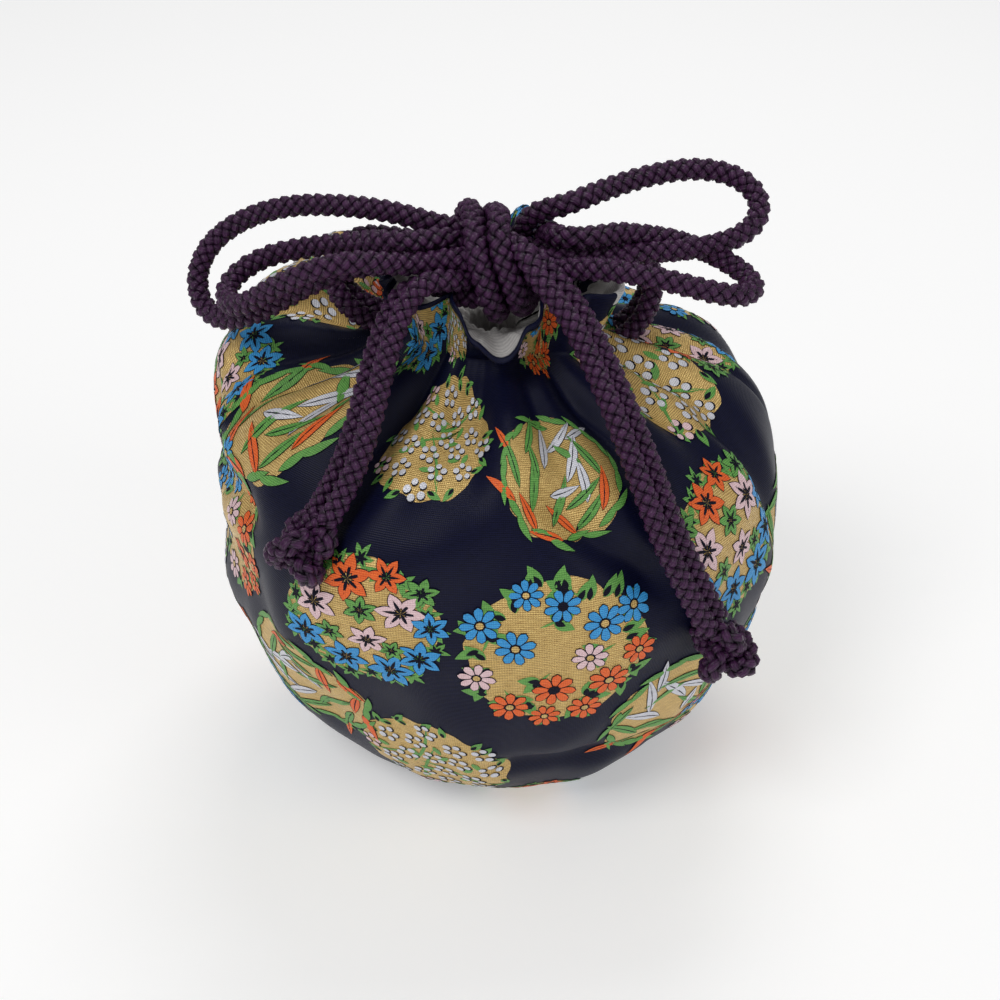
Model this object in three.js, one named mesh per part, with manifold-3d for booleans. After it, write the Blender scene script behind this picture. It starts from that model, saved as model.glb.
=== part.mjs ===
import * as THREE from 'three';
import { mergeVertices } from 'three/addons/utils/BufferGeometryUtils.js';
import Module from 'manifold-3d';

// Drawstring pouch, drawn closed and tied in a bow. Millimetres, +Z up, front towards -Y.
// The origin is the middle of the foot, on the surface that the pouch stands on.

// Driving sizes of the cloth body.
const BODY_WIDTH = 120;
const BODY_DEPTH = 112;
const SHOULDER_HEIGHT = 88;
const FOOT_SHARE = 0.4;
const NECK_RADIUS = 19.5;
const NECK_RISE = 2.4;
const RUFFLE_HEIGHT = 7.2;
const RUFFLE_FLARE = 6;
const PLEATS_PER_PANEL = 6;
const PLEAT_DEPTH = 3.5;
const STEPS_PER_PLEAT = 5;
const CLOTH_THICKNESS = 0.9;
const LINING_THICKNESS = 0.6;
const SEAM_GAP = 0.3;

// Driving sizes of the cords and their knots.
const CORD_DIAMETER = 4.5;
const CORD_GAP = 0.3;
const CHANNEL_CLEARANCE = 0.5;
const CORD_SIDES = 8;
const KNOT_LENGTH = 16;
const KNOT_FORWARD = 6;
const KNOT_RISE = 5.4;

const halfWidth = BODY_WIDTH / 2;
const halfDepth = BODY_DEPTH / 2;
const cordRadius = CORD_DIAMETER / 2;
const cordPitch = CORD_DIAMETER + CORD_GAP;

// The channel holds two cords, one above the other, between two rows of stitches.
const lowerStitch = SHOULDER_HEIGHT + NECK_RISE;
const lowerRing = lowerStitch - 1;
const upperRing = lowerRing + cordPitch;
const upperStitch = upperRing + CORD_DIAMETER;
const rimHeight = upperStitch + RUFFLE_HEIGHT;
const ringRadius = NECK_RADIUS - CLOTH_THICKNESS - CHANNEL_CLEARANCE - cordRadius;
const slitHalf = cordPitch + 4 * CHANNEL_CLEARANCE;

// The lining keeps clear of the cords on the inside of the channel.
const liningWall = ringRadius - cordRadius - CHANNEL_CLEARANCE;
const wallFoot = lowerRing - cordRadius - 3 * CHANNEL_CLEARANCE;
const wallTop = upperRing + 4 * CHANNEL_CLEARANCE;

// One station of the profile: radius on the X side, height, pleat share, whether the side slit is
// cut there, and where the lining runs if it leaves the outer cloth.
const station = (r, z, pleat = 0, slit = false, lining = null) => {
  return { r, z, pleat: pleat * PLEAT_DEPTH, liningPleat: lining ? 0 : pleat * PLEAT_DEPTH, slit, lining };
};
const body = (share, height, pleat = 0) => {
  return station(share * halfWidth, height * SHOULDER_HEIGHT, pleat);
};
const STATIONS = [
  body(0, 0),
  body(FOOT_SHARE, 0),
  body(0.62, 0.05),
  body(0.77, 0.152),
  body(0.885, 0.305),
  body(0.975, 0.49),
  body(1, 0.61),
  body(0.983, 0.73),
  body(0.915, 0.85, 0.2),
  body(0.775, 0.952, 0.55),
  station(NECK_RADIUS + 13.5, SHOULDER_HEIGHT - 0.6, 0.8),
  station(NECK_RADIUS + 7, lowerStitch, 1),
  station(NECK_RADIUS + 5.4, lowerStitch + 1.1, 1, true, [liningWall + cordRadius + 1.6, wallFoot + 1]),
  station(NECK_RADIUS + 3.4, lowerStitch + 2.8, 1, true, [liningWall, wallFoot]),
  station(NECK_RADIUS + 1, upperStitch - cordRadius, 1, true, [liningWall, wallTop]),
  station(NECK_RADIUS - 0.5, upperStitch, 0.9),
  station(NECK_RADIUS + 0.35 * RUFFLE_FLARE, upperStitch + 0.45 * RUFFLE_HEIGHT, 0.95),
  station(NECK_RADIUS + RUFFLE_FLARE, rimHeight, 1),
];

// The body is oval and the neck is round.
const depthShare = (s) => {
  const t = THREE.MathUtils.smoothstep(s.r, NECK_RADIUS + 6, 0.775 * halfWidth);
  const oval = BODY_DEPTH / BODY_WIDTH;
  return s.z > 0.9 * SHOULDER_HEIGHT ? THREE.MathUtils.lerp(1, oval, t) : oval;
};
const SHARES = STATIONS.map(depthShare);

// Moves a profile towards the inside of the pouch by a distance.
const inward = (profile, distance) => profile.map(([r, z], i) => {
  const sides = [];
  if (i > 0) {
    sides.push([r - profile[i - 1][0], z - profile[i - 1][1]]);
  }
  if (i < profile.length - 1) {
    sides.push([profile[i + 1][0] - r, profile[i + 1][1] - z]);
  }
  const normals = sides.map(([a, b]) => new THREE.Vector2(-b, a).normalize());
  const n = normals.reduce((sum, v) => sum.add(v), new THREE.Vector2()).normalize();
  const mitre = Math.max(0.7, n.dot(normals[normals.length - 1]));
  const d = distance / mitre;
  return [i === 0 ? 0 : r + n.x * d, z + n.y * d];
});

const outerFace = STATIONS.map((s) => [s.r, s.z]);
const outerBack = inward(outerFace, CLOTH_THICKNESS);
const liningFace = inward(outerBack, SEAM_GAP).map((p, i) => STATIONS[i].lining ?? p);
const liningBack = inward(liningFace, LINING_THICKNESS);

// The lining stands a little proud at the rim, so it sets the height that the cords cross.
const rimTop = liningBack[liningBack.length - 1][1];

// Points of one cloth face over half a turn. The pleats fold outwards between the seams.
const COLUMNS = PLEATS_PER_PANEL * STEPS_PER_PLEAT;
const clothFace = (profile, side, amount, slit) => profile.map(([r, z], i) => {
  const row = [];
  const edge = slit && STATIONS[i].slit ? Math.asin(slitHalf / r) : 0;
  for (let j = 0; j <= COLUMNS; j += 1) {
    const turn = (Math.PI * j) / COLUMNS;
    const fold = 0.5 - 0.5 * Math.cos(2 * PLEATS_PER_PANEL * turn);
    const angle = edge + (turn * (Math.PI - 2 * edge)) / Math.PI;
    const reach = r + fold * amount(STATIONS[i]);
    const y = side * (reach * Math.sin(angle) * SHARES[i] + SEAM_GAP / 2);
    row.push(new THREE.Vector3(-reach * Math.cos(angle), y, z));
  }
  return i === 0 ? [row[Math.floor(COLUMNS / 2)]] : row;
});

// Closes two cloth faces into one sheet with edges at the two seams and at the rim.
const sheet = (front, back) => {
  const points = [];
  const start = [front, back].map((face) => face.map((row) => {
    const first = points.length;
    points.push(...row);
    return first;
  }));
  const last = front.length - 1;
  const id = (face, i, j) => start[face][i] + (i === 0 ? 0 : j);
  const index = [];
  const quad = (a, b, c, d) => {
    [[a, b, c], [a, c, d]].forEach((t) => {
      if (new Set(t).size === 3) {
        index.push(...t);
      }
    });
  };
  for (let i = 0; i < last; i += 1) {
    for (let j = 0; j < COLUMNS; j += 1) {
      quad(id(0, i, j), id(0, i, j + 1), id(0, i + 1, j + 1), id(0, i + 1, j));
      quad(id(1, i, j), id(1, i + 1, j), id(1, i + 1, j + 1), id(1, i, j + 1));
    }
    quad(id(0, i, 0), id(0, i + 1, 0), id(1, i + 1, 0), id(1, i, 0));
    quad(id(0, i, COLUMNS), id(1, i, COLUMNS), id(1, i + 1, COLUMNS), id(0, i + 1, COLUMNS));
  }
  for (let j = 0; j < COLUMNS; j += 1) {
    quad(id(0, last, j), id(0, last, j + 1), id(1, last, j + 1), id(1, last, j));
  }
  const volume = () => {
    let sum = 0;
    for (let k = 0; k < index.length; k += 3) {
      const [a, b, c] = [points[index[k]], points[index[k + 1]], points[index[k + 2]]];
      sum += a.dot(b.clone().cross(c));
    }
    return sum;
  };
  if (volume() < 0) {
    index.reverse();
  }
  const geometry = new THREE.BufferGeometry().setFromPoints(points);
  geometry.setIndex(index);
  geometry.computeVertexNormals();
  return geometry;
};

const wasm = await Module();
wasm.setup();

const toManifold = (geometry) => {
  const plain = geometry.clone();
  plain.deleteAttribute('normal');
  plain.deleteAttribute('uv');
  const merged = mergeVertices(plain, 1e-4);
  return new wasm.Manifold(new wasm.Mesh({
    numProp: 3,
    vertProperties: new Float32Array(merged.attributes.position.array),
    triVerts: new Uint32Array(merged.index.array),
  }));
};
const fromManifold = (solid) => {
  const mesh = solid.getMesh();
  const geometry = new THREE.BufferGeometry();
  geometry.setAttribute('position', new THREE.BufferAttribute(new Float32Array(mesh.vertProperties), 3));
  geometry.setIndex(new THREE.BufferAttribute(new Uint32Array(mesh.triVerts), 1));
  geometry.computeVertexNormals();
  return geometry;
};
const joined = (pieces) => fromManifold(pieces.map(toManifold).reduce((a, b) => a.add(b)));

// A round cord along a smooth route.
const cord = (route, steps) => {
  const section = new THREE.Shape();
  section.absarc(0, 0, cordRadius, 0, 2 * Math.PI);
  const extrudePath = new THREE.CatmullRomCurve3(route, false, 'centripetal');
  const geometry = new THREE.ExtrudeGeometry(section, { steps, curveSegments: CORD_SIDES / 2, extrudePath });
  return geometry;
};

// The bow knot lies over the mouth, a little towards the front.
const knot = new THREE.Vector3(0, -KNOT_FORWARD, rimTop + KNOT_RISE);
const faceX = KNOT_LENGTH / 2 + CORD_GAP;
const knotHalf = { y: 1.6 * CORD_DIAMETER, z: 1.8 * CORD_DIAMETER };

// A closed ring of cord, oval, about the X axis.
const ovalRing = (a, b, turns) => {
  const base = 4 * CORD_DIAMETER;
  const ring = new THREE.TorusGeometry(base, cordRadius, CORD_SIDES, turns);
  const position = ring.attributes.position;
  for (let k = 0; k < position.count; k += 1) {
    const t = Math.atan2(position.getY(k), position.getX(k));
    const out = Math.hypot(position.getX(k), position.getY(k)) - base;
    position.setXYZ(k, position.getZ(k), (a + out) * Math.cos(t), (b + out) * Math.sin(t));
  }
  return ring;
};

// The knot: the bundle that passes through it, and the doubled band wrapped round the bundle.
const bowKnot = () => {
  const core = new THREE.CylinderGeometry(1, 1, KNOT_LENGTH, 20);
  core.rotateZ(Math.PI / 2);
  core.scale(1, knotHalf.y, knotHalf.z);
  const bands = [-0.5, 0.5].map((side) => {
    const band = ovalRing(knotHalf.y + 0.3, knotHalf.z + 0.3, 20);
    band.translate(side * cordPitch * 0.98, 0, 0);
    return band;
  });
  const geometry = joined([core, ...bands]);
  geometry.translate(knot.x, knot.y, knot.z);
  return geometry;
};

// An overhand end knot: a ball of cord with one turn lying round it.
const endKnot = (centre, along) => {
  const ball = new THREE.SphereGeometry(1, 16, 10);
  ball.scale(1.25 * CORD_DIAMETER, 1.25 * CORD_DIAMETER, 1.6 * CORD_DIAMETER);
  const turn = ovalRing(0.95 * CORD_DIAMETER, 1.1 * CORD_DIAMETER, 16);
  turn.rotateY(Math.PI / 3);
  const geometry = joined([ball, turn]);
  const lie = new THREE.Quaternion().setFromUnitVectors(new THREE.Vector3(0, 0, 1), along);
  geometry.applyQuaternion(lie);
  geometry.translate(centre.x, centre.y, centre.z);
  return geometry;
};

// Where a cord meets the side of the bow knot, as turns of the pitch from the knot's middle.
const berth = (side, y, z) => new THREE.Vector3(side * faceX, knot.y + y * cordPitch, knot.z + z * cordPitch);
const BERTHS = {
  outerTop: [0.62, 1.08],
  innerTop: [-0.44, 0.97],
  outerLow: [0.1, 0.05],
  innerLow: [-0.95, -0.05],
  standingBack: [1.16, 0.05],
  standingFront: [0.62, -0.95],
};

// Routes are shares of half the width, half the depth and the rim height, so that they follow the body.
const onBody = ([x, y, z]) => new THREE.Vector3(x * halfWidth, y * halfDepth, z * rimTop);
const LEFT_OUTER = [
  [-0.3, 0.01, 1.111], [-0.49, 0.08, 1.112], [-0.68, 0.14, 1.098], [-0.85, 0.17, 1.058],
  [-0.955, 0.16, 1.008], [-0.99, 0.11, 0.948], [-0.945, 0.04, 0.902], [-0.84, -0.05, 0.91],
  [-0.7, -0.12, 0.96], [-0.56, -0.155, 1.014], [-0.4, -0.14, 1.047], [-0.27, -0.12, 1.052],
];
const LEFT_INNER = [
  [-0.29, -0.18, 1.098], [-0.42, -0.12, 1.09], [-0.6, -0.055, 1.068], [-0.74, -0.03, 1.045],
  [-0.84, -0.03, 1.006], [-0.87, -0.07, 0.972], [-0.82, -0.135, 0.956], [-0.7, -0.2, 1.002],
  [-0.56, -0.245, 1.054], [-0.41, -0.25, 1.078], [-0.28, -0.23, 1.068],
];
const RIGHT_OUTER = [
  [0.22, -0.02, 1.13], [0.36, 0.07, 1.145], [0.5, 0.13, 1.16], [0.66, 0.16, 1.169], [0.785, 0.15, 1.158],
  [0.862, 0.11, 1.128], [0.867, 0.06, 1.092], [0.81, 0.01, 1.066], [0.7, -0.02, 1.05], [0.55, -0.04, 1.044],
  [0.4, -0.07, 1.05], [0.27, -0.09, 1.055],
];
const RIGHT_INNER = [
  [0.22, -0.18, 1.098], [0.36, -0.14, 1.105], [0.5, -0.11, 1.106], [0.62, -0.105, 1.09], [0.74, -0.13, 1.062],
  [0.82, -0.16, 1.03], [0.835, -0.2, 1.008], [0.77, -0.225, 1], [0.66, -0.225, 1.012], [0.53, -0.22, 1.032],
  [0.38, -0.22, 1.052], [0.26, -0.215, 1.06],
];
const LEFT_TAIL = [
  [-0.22, -0.315, 1.018], [-0.31, -0.43, 1.042], [-0.362, -0.55, 0.998], [-0.372, -0.62, 0.93],
  [-0.395, -0.675, 0.876], [-0.46, -0.757, 0.826], [-0.52, -0.825, 0.78],
];
const RIGHT_TAIL = [
  [0.22, -0.32, 1.018], [0.3, -0.43, 1.042], [0.352, -0.545, 0.996], [0.39, -0.615, 0.925],
  [0.425, -0.685, 0.865], [0.485, -0.788, 0.808], [0.53, -0.845, 0.745], [0.607, -0.868, 0.667],
  [0.66, -0.87, 0.6], [0.69, -0.868, 0.54],
];

// A loop leaves the knot level, goes out and comes back to the berth below.
const loop = (side, first, route, second) => {
  const lead = new THREE.Vector3(side * 3, 0, 0);
  const a = berth(side, ...first);
  const b = berth(side, ...second);
  return [a, a.clone().add(lead), ...route.map(onBody), b.clone().add(lead), b];
};

// Two cords of a tail lie side by side, each half a pitch from the middle route.
const tail = (side, route, shift) => {
  const first = berth(side, -0.98, -1.02);
  const lead = first.clone().add(new THREE.Vector3(side * 2.5, 0, 0));
  const middle = [first, lead, ...route.map(onBody)];
  return middle.map((p, i) => {
    const before = middle[Math.max(i - 1, 0)];
    const after = middle[Math.min(i + 1, middle.length - 1)];
    const along = i < 2 ? new THREE.Vector3(side, 0, 0) : after.clone().sub(before).normalize();
    const low = (p.z - 0.55 * rimTop) / rimTop;
    const out = new THREE.Vector3(p.x / halfWidth ** 2, p.y / halfDepth ** 2, low / rimTop * 2).normalize();
    const up = i < 2 ? new THREE.Vector3(0, 0, 1) : out;
    const across = along.clone().cross(up).normalize();
    return p.clone().addScaledVector(across, shift * (cordPitch + 4 * CORD_GAP) / 2);
  });
};
const tailEnd = (route) => {
  const points = route.map(onBody);
  const last = points[points.length - 1];
  const along = last.clone().sub(points[points.length - 2]).normalize();
  return { last, along };
};

// The channel run of one cord: all the way round, open at its own slit.
const ringEnd = slitHalf + 0.6;
const channelRun = (side, z) => {
  const open = Math.asin(ringEnd / ringRadius);
  const points = [];
  for (let i = 0; i <= 20; i += 1) {
    const t = open + ((2 * Math.PI - 2 * open) * i) / 20;
    points.push(new THREE.Vector3(side * ringRadius * Math.cos(t), ringRadius * Math.sin(t), z));
  }
  return points;
};

// A standing stretch goes from the channel out by the slit, up past the rim and in to the knot.
const standing = (side, way, z, place) => {
  const half = cordPitch / 2 + 0.1;
  const y0 = ringEnd - 2 * CORD_GAP;
  const x0 = Math.sqrt(ringRadius ** 2 - y0 ** 2);
  const slope = y0 / ringRadius;
  const end = berth(side, ...place);
  const outX = NECK_RADIUS + RUFFLE_FLARE + cordRadius + 3;
  const start = new THREE.Vector3(side * x0, way * y0, z);
  const rimY = way > 0 ? 2 * cordPitch : half;
  return [
    start,
    start.clone().add(new THREE.Vector3(side * slope, -way * 0.95, 0)),
    new THREE.Vector3(side * (ringRadius + 2.6), way * (half + 0.6), z + 0.2),
    new THREE.Vector3(side * (NECK_RADIUS + 2.7), way > 0 ? half + 0.5 : -half - 0.5, z + 2.5),
    new THREE.Vector3(side * outX, way > 0 ? cordPitch + 0.2 : half - 3.3, upperStitch),
    new THREE.Vector3(side * (outX + 0.6), rimY, rimTop - 1),
    new THREE.Vector3(side * (NECK_RADIUS + 2.5), rimY, rimTop + cordRadius + (way > 0 ? 1.9 : 1.1)),
    end.clone().add(new THREE.Vector3(side * 3, 0, 0)),
    end,
  ];
};

const MATERIALS = {
  brocade: { color: 0x14162b, roughness: 0.55, metalness: 0 },
  lining: { color: 0xcfcdca, roughness: 0.8, metalness: 0 },
  cord: { color: 0x3a1c3e, roughness: 0.6, metalness: 0 },
};
const pouch = new THREE.Group();
pouch.name = 'drawstring_pouch';
const add = (name, geometry, look) => {
  const mesh = new THREE.Mesh(geometry, new THREE.MeshStandardMaterial(MATERIALS[look]));
  mesh.name = name;
  pouch.add(mesh);
};

[['front', -1], ['back', 1]].forEach(([name, side]) => {
  const outerPleat = (s) => s.pleat;
  const liningPleat = (s) => s.liningPleat;
  const outer = [outerFace, outerBack].map((face) => clothFace(face, side, outerPleat, true));
  const lining = [liningFace, liningBack].map((face) => clothFace(face, side, liningPleat, false));
  add(`outer_${name}_panel`, sheet(...outer), 'brocade');
  add(`lining_${name}_panel`, sheet(...lining), 'lining');
});

const SIDES = [
  { name: 'left', side: -1, z: upperRing, outer: LEFT_OUTER, inner: LEFT_INNER, tail: LEFT_TAIL },
  { name: 'right', side: 1, z: lowerRing, outer: RIGHT_OUTER, inner: RIGHT_INNER, tail: RIGHT_TAIL },
];
SIDES.forEach(({ name, side, z, outer, inner, tail: route }) => {
  add(`${name}_channel_run`, cord(channelRun(side, z), 20), 'cord');
  add(`${name}_standing_back`, cord(standing(side, 1, z, BERTHS.standingBack), 9), 'cord');
  add(`${name}_standing_front`, cord(standing(side, -1, z, BERTHS.standingFront), 9), 'cord');
  add(`${name}_loop_outer`, cord(loop(side, BERTHS.outerTop, outer, BERTHS.outerLow), 16), 'cord');
  add(`${name}_loop_inner`, cord(loop(side, BERTHS.innerTop, inner, BERTHS.innerLow), 15), 'cord');
  const steps = route.length + 4;
  add(`${name}_tail_inner`, cord(tail(side, route, -side), steps), 'cord');
  add(`${name}_tail_outer`, cord(tail(side, route, side), steps), 'cord');
  const { last, along } = tailEnd(route);
  const centre = last.clone().addScaledVector(along, 1.6 * CORD_DIAMETER + CORD_GAP);
  add(`${name}_end_knot`, endKnot(centre, along), 'cord');
});
add('bow_knot', bowKnot(), 'cord');

export default pouch;
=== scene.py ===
import math

import bpy
import numpy as np
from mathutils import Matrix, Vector


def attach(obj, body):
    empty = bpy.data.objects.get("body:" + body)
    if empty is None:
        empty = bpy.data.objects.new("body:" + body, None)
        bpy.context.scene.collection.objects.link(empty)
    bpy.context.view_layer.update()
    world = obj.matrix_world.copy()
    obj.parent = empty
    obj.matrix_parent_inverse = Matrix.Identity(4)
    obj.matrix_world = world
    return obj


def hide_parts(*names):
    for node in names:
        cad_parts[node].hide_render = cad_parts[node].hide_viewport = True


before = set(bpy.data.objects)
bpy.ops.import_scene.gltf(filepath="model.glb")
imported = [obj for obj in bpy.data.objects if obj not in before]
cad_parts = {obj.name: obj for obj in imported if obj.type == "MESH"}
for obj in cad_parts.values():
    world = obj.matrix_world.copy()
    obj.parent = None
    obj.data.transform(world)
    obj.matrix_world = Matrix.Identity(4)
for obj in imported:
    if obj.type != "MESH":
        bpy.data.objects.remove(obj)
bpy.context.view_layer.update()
MM = 0.001
TURN = 2 * math.pi


# Meshes
def add_mesh(name, points, faces, materials, kinds=None, uv=None):
    """A smooth mesh from points in millimetres and rows of corner numbers, three or four to a face."""
    faces = np.asarray(faces, np.int32)
    mesh = bpy.data.meshes.new(name)
    mesh.vertices.add(len(points))
    mesh.vertices.foreach_set("co", (np.asarray(points) * MM).astype(np.float32).ravel())
    mesh.loops.add(faces.size)
    mesh.loops.foreach_set("vertex_index", faces.ravel())
    mesh.polygons.add(len(faces))
    mesh.polygons.foreach_set("loop_start", np.arange(0, faces.size, faces.shape[1], dtype=np.int32))
    mesh.polygons.foreach_set("use_smooth", np.ones(len(faces), bool))
    for m in materials:
        mesh.materials.append(m)
    if kinds is not None:
        mesh.polygons.foreach_set("material_index", np.asarray(kinds, np.int32))
    if uv is not None:
        layer = mesh.uv_layers.new(name="UVMap")
        layer.data.foreach_set("uv", np.asarray(uv, np.float32)[faces.ravel()].ravel())
    mesh.update()
    mesh.validate()
    obj = bpy.data.objects.new(name, mesh)
    bpy.context.scene.collection.objects.link(obj)
    return obj


def grid_faces(rows, cols, wrap=False, start=0):
    """The quads of a rows by cols grid of points, closed across the columns where wrap is set."""
    i = np.arange(rows - 1)[:, None]
    j = np.arange(cols if wrap else cols - 1)[None, :]
    k = (j + 1) % cols
    quads = np.stack([i * cols + j, i * cols + k, (i + 1) * cols + k, (i + 1) * cols + j], -1)
    return quads.reshape(-1, 4) + start


def unit(v):
    """Each vector divided by its length."""
    return v / (np.linalg.norm(v, axis=-1, keepdims=True) + 1e-12)


def smooth(a, b, x):
    """0 below a, 1 above b, an S-curve between."""
    t = np.clip((x - a) / (b - a), 0, 1)
    return t * t * (3 - 2 * t)


def line_through(points, step):
    """A centripetal Catmull-Rom line through the points, given back at even steps."""
    p = np.asarray(points, float)
    p = np.vstack([2 * p[0] - p[1], p, 2 * p[-1] - p[-2]])
    out = []
    for a, b, c, d in zip(p, p[1:], p[2:], p[3:]):
        t0 = 0.0
        t1 = t0 + math.sqrt(np.linalg.norm(b - a))
        t2 = t1 + math.sqrt(np.linalg.norm(c - b))
        t3 = t2 + math.sqrt(np.linalg.norm(d - c))
        t = np.linspace(t1, t2, 24, endpoint=False)[:, None]
        ab = a + (b - a) * (t - t0) / (t1 - t0)
        bc = b + (c - b) * (t - t1) / (t2 - t1)
        cd = c + (d - c) * (t - t2) / (t3 - t2)
        abc = ab + (bc - ab) * (t - t0) / (t2 - t0)
        bcd = bc + (cd - bc) * (t - t1) / (t3 - t1)
        out.append(abc + (bcd - abc) * (t - t1) / (t2 - t1))
    out.append(p[-2][None])
    return even(np.vstack(out), step)


def even(line, step):
    """The line's points again, at even steps along it."""
    far = np.r_[0, np.cumsum(np.linalg.norm(np.diff(line, axis=0), axis=1))]
    at = np.linspace(0, far[-1], max(2, int(far[-1] / step) + 1))
    return np.stack([np.interp(at, far, line[:, k]) for k in range(3)], -1)


def carried_frames(line):
    """Two directions across the line, carried along it without twist."""
    along = unit(np.gradient(line, axis=0))
    side = np.zeros_like(line)
    first = np.cross(along[0], [0.0, 0.0, 1.0])
    if np.linalg.norm(first) < 0.1:
        first = np.cross(along[0], [0.0, 1.0, 0.0])
    side[0] = unit(first)
    for i in range(1, len(line)):
        side[i] = unit(side[i - 1] - along[i] * np.dot(side[i - 1], along[i]))
    return side, np.cross(along, side)


# Materials
def node_material(name):
    """A new material, its nodes and its one shader."""
    m = bpy.data.materials.new(name)
    m.use_nodes = True
    tree = m.node_tree
    shader = next(n for n in tree.nodes if n.type == "BSDF_PRINCIPLED")
    return m, tree, shader


def put(tree, kind, links=(), **values):
    """A node with its values set by socket name, and links made into it as (socket, output)."""
    n = tree.nodes.new(kind)
    for k, v in values.items():
        key = k.replace("_", " ")
        if key in n.inputs:
            n.inputs[key].default_value = v
        else:
            setattr(n, k, v)
    for key, out in links:
        tree.links.new(out, n.inputs[key])
    return n


def math_node(tree, op, a, b=None):
    """The output of a Math node. Each input is a number or another node's output."""
    n = tree.nodes.new("ShaderNodeMath")
    n.operation = op
    for i, x in enumerate((a, b)):
        if x is None:
            continue
        if isinstance(x, (int, float)):
            n.inputs[i].default_value = x
        else:
            tree.links.new(x, n.inputs[i])
    return n.outputs[0]


def woven_group():
    """Weft lines crossing warp lines, with slubs. Shade is lightest on a thread's crest. Height is relief."""
    g = bpy.data.node_groups.new("woven_threads", "ShaderNodeTree")
    g.interface.new_socket("Vector", in_out="INPUT", socket_type="NodeSocketVector")
    g.interface.new_socket("Pitch", in_out="INPUT", socket_type="NodeSocketFloat")
    g.interface.new_socket("Shade", in_out="OUTPUT", socket_type="NodeSocketFloat")
    g.interface.new_socket("Height", in_out="OUTPUT", socket_type="NodeSocketFloat")
    start = g.nodes.new("NodeGroupInput")
    end = g.nodes.new("NodeGroupOutput")
    where = start.outputs["Vector"]
    split = put(g, "ShaderNodeSeparateXYZ", [("Vector", where)])
    slub = put(g, "ShaderNodeTexNoise", [("Vector", where)], Scale=0.9, Detail=3.0)
    wobble = math_node(g, "MULTIPLY", slub.outputs["Fac"], 1.2)
    turns = math_node(g, "MULTIPLY", start.outputs["Pitch"], TURN)
    weft = math_node(g, "MULTIPLY", split.outputs["Y"], turns)
    weft = math_node(g, "SINE", math_node(g, "ADD", weft, wobble))
    warp = math_node(g, "MULTIPLY", split.outputs["X"], turns)
    warp = math_node(g, "SINE", math_node(g, "ADD", warp, wobble))
    stretch = put(g, "ShaderNodeVectorMath", operation="MULTIPLY")
    stretch.inputs[1].default_value = (0.3, 2.4, 1.0)
    g.links.new(where, stretch.inputs[0])
    fine = put(g, "ShaderNodeTexNoise", [("Vector", stretch.outputs[0])], Scale=1.6, Detail=3.0)
    cross = math_node(g, "MULTIPLY", warp, 0.4)
    height = math_node(g, "ADD", weft, cross)
    shade = math_node(g, "ADD", math_node(g, "MULTIPLY", height, 0.22), 0.02)
    shade = math_node(g, "ADD", shade, math_node(g, "MULTIPLY", fine.outputs["Fac"], 0.95))
    g.links.new(shade, end.inputs["Shade"])
    g.links.new(height, end.inputs["Height"])
    return g


WOVEN = woven_group()


def thread_material(name, dark, light, pitch, rough, metal=0.0, relief=0.3, spec=0.4):
    """Cloth of one colour: the shade between dark and light and the relief follow the threads."""
    m, tree, shader = node_material(name)
    uv = put(tree, "ShaderNodeUVMap", uv_map="UVMap")
    w = put(tree, "ShaderNodeGroup", node_tree=WOVEN)
    tree.links.new(uv.outputs[0], w.inputs["Vector"])
    w.inputs["Pitch"].default_value = pitch
    mix = tree.nodes.new("ShaderNodeMix")
    mix.data_type = "RGBA"
    mix.inputs[6].default_value = (*dark, 1)
    mix.inputs[7].default_value = (*light, 1)
    tree.links.new(w.outputs["Shade"], mix.inputs[0])
    tree.links.new(mix.outputs[2], shader.inputs["Base Color"])
    bump = put(tree, "ShaderNodeBump", [("Height", w.outputs["Height"])], Strength=relief, Distance=0.0001)
    tree.links.new(bump.outputs[0], shader.inputs["Normal"])
    shader.inputs["Roughness"].default_value = rough
    shader.inputs["Metallic"].default_value = metal
    shader.inputs["Specular IOR Level"].default_value = spec
    return m


def srgb(r, g, b):
    """A display colour in steps of 0 to 255, as linear light."""
    def one(c):
        c /= 255
        return c / 12.92 if c <= 0.04045 else ((c + 0.055) / 1.055) ** 2.4

    return one(r), one(g), one(b)


SATIN = thread_material("navy_satin", srgb(5, 6, 20), srgb(18, 21, 54), 2.6, 0.42, relief=0.2, spec=0.13)
LINING = thread_material("lining_cotton", srgb(176, 173, 172), srgb(226, 223, 220), 2.2, 0.85, relief=0.3)
THREADS = {
    "gold": thread_material("gold_weft", srgb(140, 96, 34), srgb(255, 222, 140), 2.2, 0.38, 0.35, 0.6, 0.6),
    "outline": thread_material("outline_weft", srgb(7, 7, 18), srgb(24, 24, 44), 2.4, 0.6, spec=0.1),
    "green": thread_material("green_weft", srgb(44, 104, 36), srgb(124, 190, 92), 2.4, 0.5),
    "orange": thread_material("orange_weft", srgb(200, 60, 8), srgb(255, 124, 46), 2.4, 0.5),
    "blue": thread_material("blue_weft", srgb(10, 100, 180), srgb(70, 180, 236), 2.4, 0.5),
    "pink": thread_material("pink_weft", srgb(200, 160, 168), srgb(250, 222, 224), 2.4, 0.5),
    "silver": thread_material("silver_weft", srgb(176, 178, 190), srgb(240, 240, 246), 2.4, 0.4, 0.2),
}
INKS = list(THREADS)


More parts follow.
